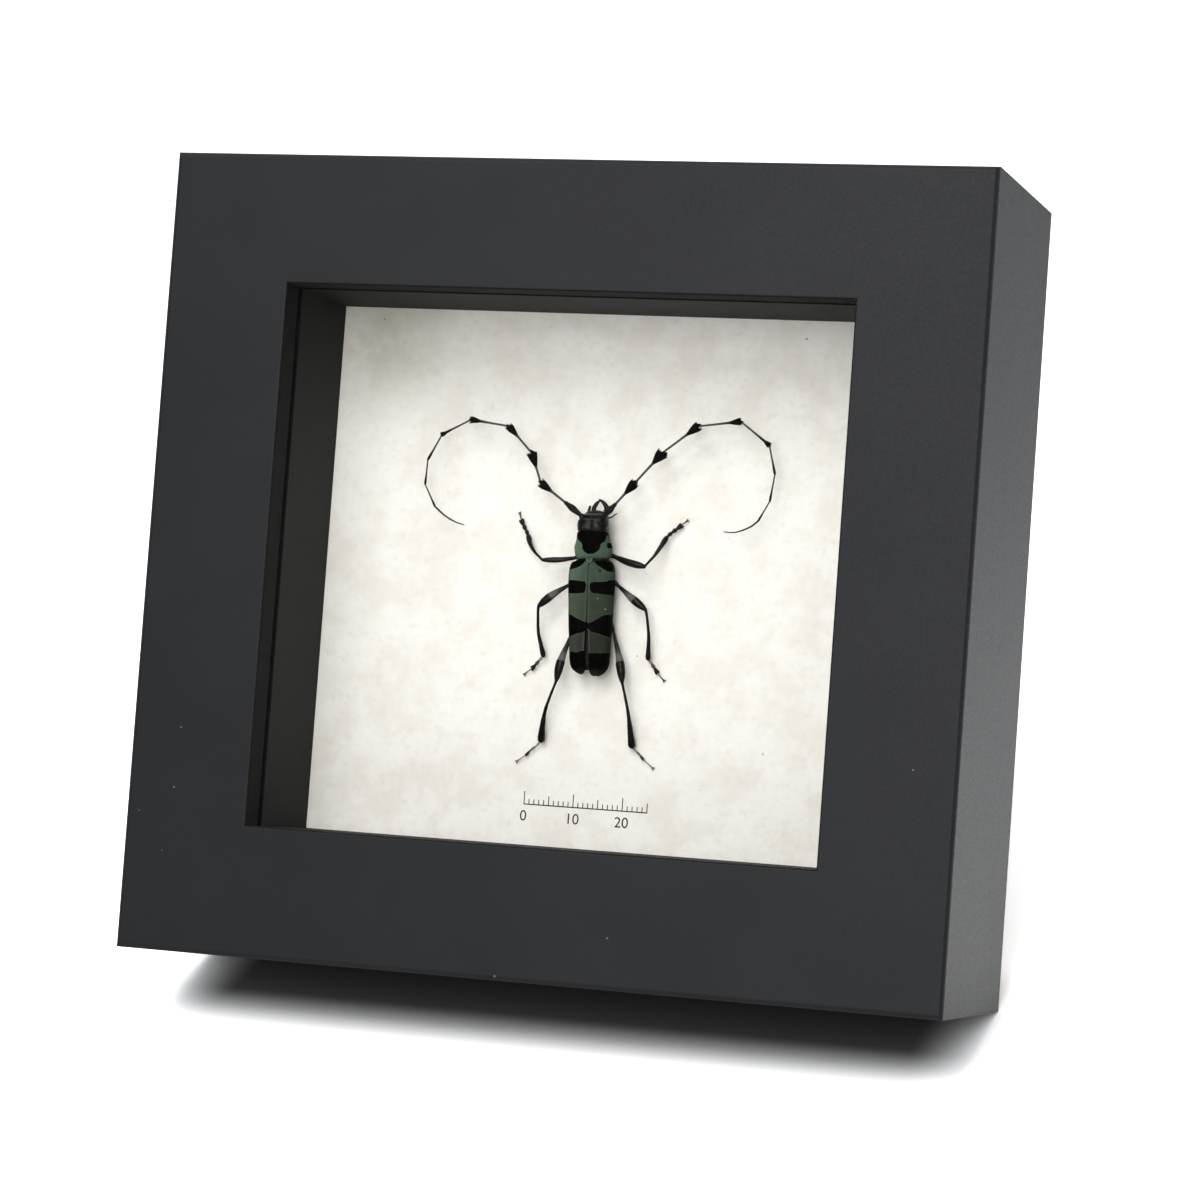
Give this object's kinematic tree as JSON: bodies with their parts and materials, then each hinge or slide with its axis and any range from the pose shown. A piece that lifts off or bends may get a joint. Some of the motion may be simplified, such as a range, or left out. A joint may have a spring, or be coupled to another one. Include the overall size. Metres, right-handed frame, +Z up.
{
  "type": "framed beetle specimen",
  "caption": "Deep shadow-box frame that leans back on a folding easel strut, holding a pinned longhorn beetle behind glass over a pale backing sheet.",
  "frame": {"origin": "bottom centre of the overall box, on the surface that the case leans over", "axes": "+Z up, +X to the viewer's right, the glass faces -Y and upwards"},
  "size_m": [0.162, 0.1228, 0.1612],
  "materials": {
    "rail_paint": "satin charcoal paint on wood",
    "spacer_board": "matt black",
    "glass": "clear",
    "paper": "mottled parchment",
    "foam": "closed-cell foam",
    "filler_board": "corrugated board",
    "hardboard": "black-faced hardboard",
    "plated_steel": "zinc plated",
    "brass_plate": "brass plated",
    "pin_steel": "blackened",
    "chitin": "dried insect, black",
    "wing_case": "dried insect, grey-green with black bands"
  },
  "bodies": {
    "case": {"top_rail": "rail_paint", "bottom_rail": "rail_paint", "left_stile": "rail_paint", "right_stile": "rail_paint", "corner_v_nails": "plated_steel", "glass_pane": "glass", "top_spacer": "spacer_board", "bottom_spacer": "spacer_board", "left_spacer": "spacer_board", "right_spacer": "spacer_board", "backing_paper": "paper", "pinning_foam": "foam", "filler_board": "filler_board", "back_panel": "hardboard", "turn_button_screws": "plated_steel", "sawtooth_hanger": "plated_steel", "hanger_nails": "plated_steel", "strut_hinge_plate": "plated_steel", "hinge_plate_rivets": "plated_steel", "strut_hinge_pin": "plated_steel", "head": "chitin", "eyes": "chitin", "left_mandible": "chitin", "right_mandible": "chitin", "palps": "chitin", "left_antenna": "chitin", "right_antenna": "chitin", "pronotum": "wing_case", "scutellum": "wing_case", "left_elytron": "wing_case", "right_elytron": "wing_case", "thorax_and_abdomen": "chitin", "left_front_leg": "chitin", "right_front_leg": "chitin", "left_middle_leg": "chitin", "right_middle_leg": "chitin", "left_hind_leg": "chitin", "right_hind_leg": "chitin", "specimen_pin": "pin_steel"},
    "strut": {"easel_strut": "hardboard", "strut_hinge_leaf": "plated_steel", "strut_leaf_rivets": "plated_steel"},
    "turn_button_left_low": {"turn_button_left_low": "brass_plate"},
    "turn_button_left_high": {"turn_button_left_high": "brass_plate"},
    "turn_button_right_low": {"turn_button_right_low": "brass_plate"},
    "turn_button_right_high": {"turn_button_right_high": "brass_plate"}
  },
  "joints": [
    {"name": "strut_fold", "type": "hinge", "parent": "case", "child": "strut", "pos_m": [0, 0.02678, 0.09946], "axis": [1, 0, 0], "range_deg": [-40, 0]},
    {"name": "turn_button_left_low_swivel", "type": "hinge", "parent": "case", "child": "turn_button_left_low", "pos_m": [-0.067, 0.00403, 0.0461], "axis": [0, -0.9272, 0.3746], "continuous": true},
    {"name": "turn_button_left_high_swivel", "type": "hinge", "parent": "case", "child": "turn_button_left_high", "pos_m": [-0.067, 0.02426, 0.09617], "axis": [0, -0.9272, 0.3746], "continuous": true},
    {"name": "turn_button_right_low_swivel", "type": "hinge", "parent": "case", "child": "turn_button_right_low", "pos_m": [0.067, 0.00403, 0.0461], "axis": [0, -0.9272, 0.3746], "continuous": true},
    {"name": "turn_button_right_high_swivel", "type": "hinge", "parent": "case", "child": "turn_button_right_high", "pos_m": [0.067, 0.02426, 0.09617], "axis": [0, -0.9272, 0.3746], "continuous": true}
  ]
}
